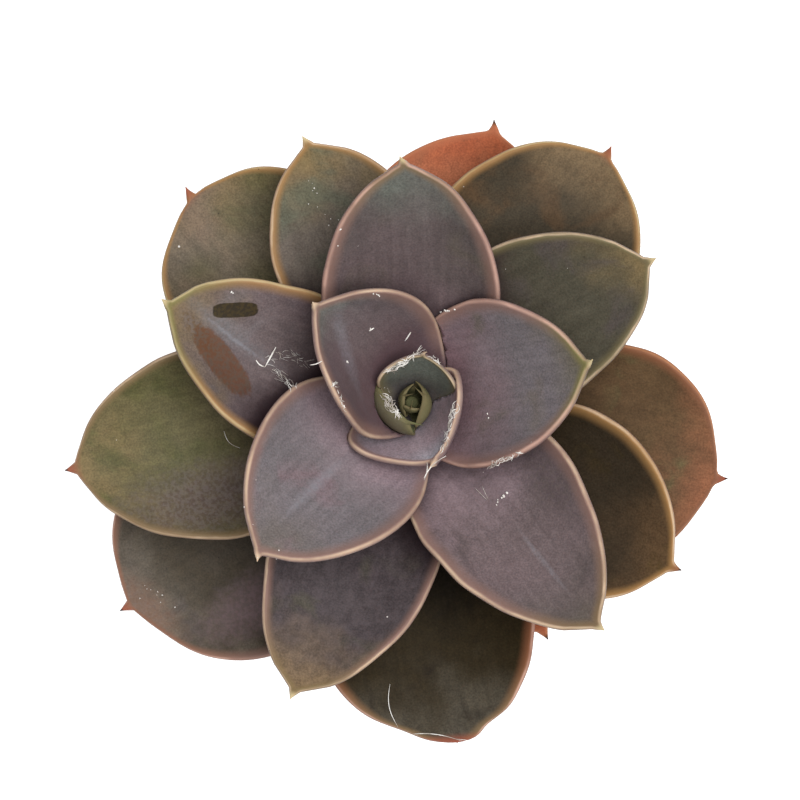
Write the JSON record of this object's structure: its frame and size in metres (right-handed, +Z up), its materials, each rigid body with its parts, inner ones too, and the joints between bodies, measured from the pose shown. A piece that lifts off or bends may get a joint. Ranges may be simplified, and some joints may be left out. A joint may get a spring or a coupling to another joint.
{
  "type": "potted echeveria",
  "caption": "Rosette succulent with thick pointed mauve-brown leaves on a short stem, rooted in soil in a plain round clay pot that stands on its flat foot.",
  "frame": {"origin": "middle of the box's underside, which is the middle of the pot's foot", "axes": "+Z up; seen from above +X is to the right and +Y away from the viewer; the crown spreads most along X and least along Y"},
  "size_m": [0.1467, 0.1388, 0.1438],
  "materials": {
    "outer_leaf": "waxy, olive brown with a warm brown margin and a thin powdery bloom",
    "middle_leaf": "waxy, brown mauve with green patches, a pale pink margin and a powdery bloom",
    "inner_leaf": "waxy, mauve grey with a cream and pink margin and a thick powdery bloom",
    "stem": "corky brown with pale leaf scars",
    "soil": "matt dark crumbs with grit",
    "pot": "matt unglazed clay with faint turning lines and a pale mineral bloom"
  },
  "bodies": {
    "root": {"leaf_01": "outer_leaf", "leaf_02": "outer_leaf", "leaf_03": "outer_leaf", "leaf_04": "outer_leaf", "leaf_05": "outer_leaf", "leaf_06": "outer_leaf", "leaf_07": "outer_leaf", "leaf_08": "outer_leaf", "leaf_09": "middle_leaf", "leaf_10": "middle_leaf", "leaf_11": "middle_leaf", "leaf_12": "middle_leaf", "leaf_13": "middle_leaf", "leaf_14": "middle_leaf", "leaf_15": "middle_leaf", "leaf_16": "middle_leaf", "leaf_17": "inner_leaf", "leaf_18": "inner_leaf", "leaf_19": "inner_leaf", "leaf_20": "inner_leaf", "leaf_21": "inner_leaf", "leaf_22": "inner_leaf", "leaf_23": "inner_leaf", "leaf_24": "inner_leaf", "stem": "stem", "soil": "soil", "pot": "pot"}
  },
  "joints": []
}
